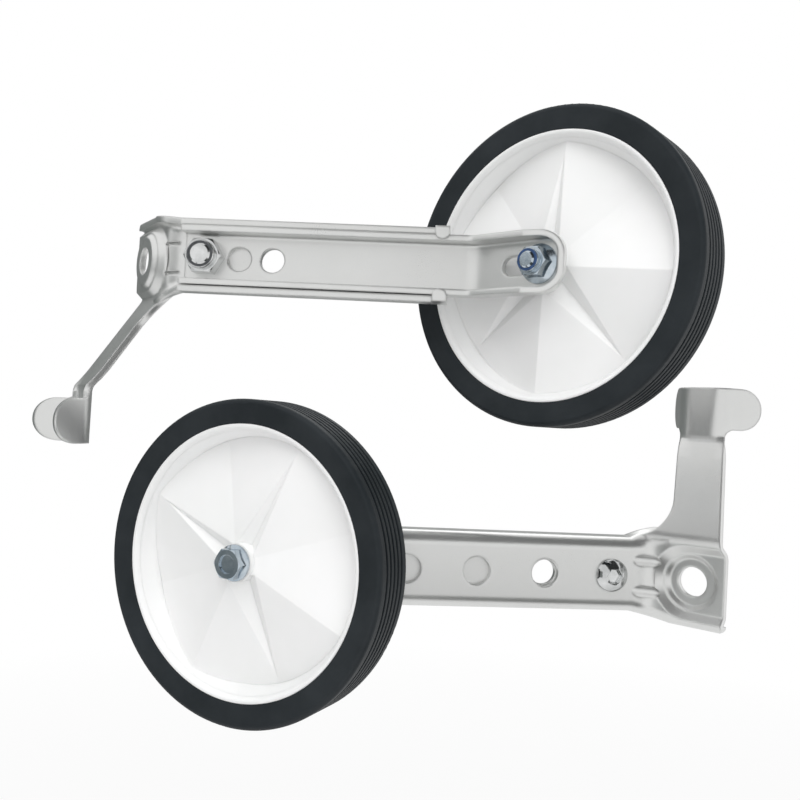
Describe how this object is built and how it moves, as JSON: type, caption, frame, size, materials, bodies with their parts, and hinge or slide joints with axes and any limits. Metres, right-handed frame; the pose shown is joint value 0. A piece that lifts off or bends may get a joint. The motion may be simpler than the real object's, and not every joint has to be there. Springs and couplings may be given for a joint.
{
  "type": "bicycle training wheels",
  "caption": "Bolt-on training wheels for a child's bicycle: pressed steel brackets with chainstay hooks, sliding arms and rubber-tyred plastic wheels on slotted axles.",
  "frame": {"origin": "centre of the left unit's axle hole, on the seat that faces outwards", "axes": "+Y along the left axle hole towards the bicycle, -X down the left arm, +Z along the left hook"},
  "size_m": [0.2115, 0.2059, 0.2257],
  "materials": {
    "silver_paint": "satin silver paint on pressed steel",
    "zinc": "bright zinc plate",
    "dark_nylon": "matt",
    "blue_nylon": "matt",
    "white_plastic": "satin moulded",
    "black_rubber": "matt"
  },
  "bodies": {
    "brackets": {"left_bracket": "silver_paint", "left_arm": "silver_paint", "left_clamp_screw": "zinc", "left_clamp_nut": "zinc", "left_clamp_nut_ring": "dark_nylon", "right_bracket": "silver_paint", "right_arm": "silver_paint", "right_clamp_screw": "zinc", "right_clamp_nut": "zinc", "right_clamp_nut_ring": "dark_nylon"},
    "left_axle": {"left_axle_screw": "zinc", "left_axle_sleeve": "zinc", "left_axle_nut": "zinc", "left_axle_nut_ring": "blue_nylon"},
    "left_wheel": {"left_hub": "white_plastic", "left_tyre": "black_rubber"},
    "right_axle": {"right_axle_screw": "zinc", "right_axle_sleeve": "zinc", "right_axle_nut": "zinc", "right_axle_nut_ring": "blue_nylon"},
    "right_wheel": {"right_hub": "white_plastic", "right_tyre": "black_rubber"}
  },
  "joints": [
    {"name": "left_axle_slide", "type": "slide", "parent": "brackets", "child": "left_axle", "axis": [0.9613, 0.2756, 0], "range_m": [0, 0.012]},
    {"name": "left_wheel_spin", "type": "hinge", "parent": "left_axle", "child": "left_wheel", "pos_m": [-0.11521, -0.11147, 0], "axis": [0.2756, -0.9613, 0], "continuous": true},
    {"name": "right_axle_slide", "type": "slide", "parent": "brackets", "child": "right_axle", "axis": [-0.9984, -0.0558, 0], "range_m": [0, 0.012]},
    {"name": "right_wheel_spin", "type": "hinge", "parent": "right_axle", "child": "right_wheel", "pos_m": [-0.03866, -0.04063, 0.1107], "axis": [-0.0558, 0.9984, 0], "continuous": true}
  ]
}
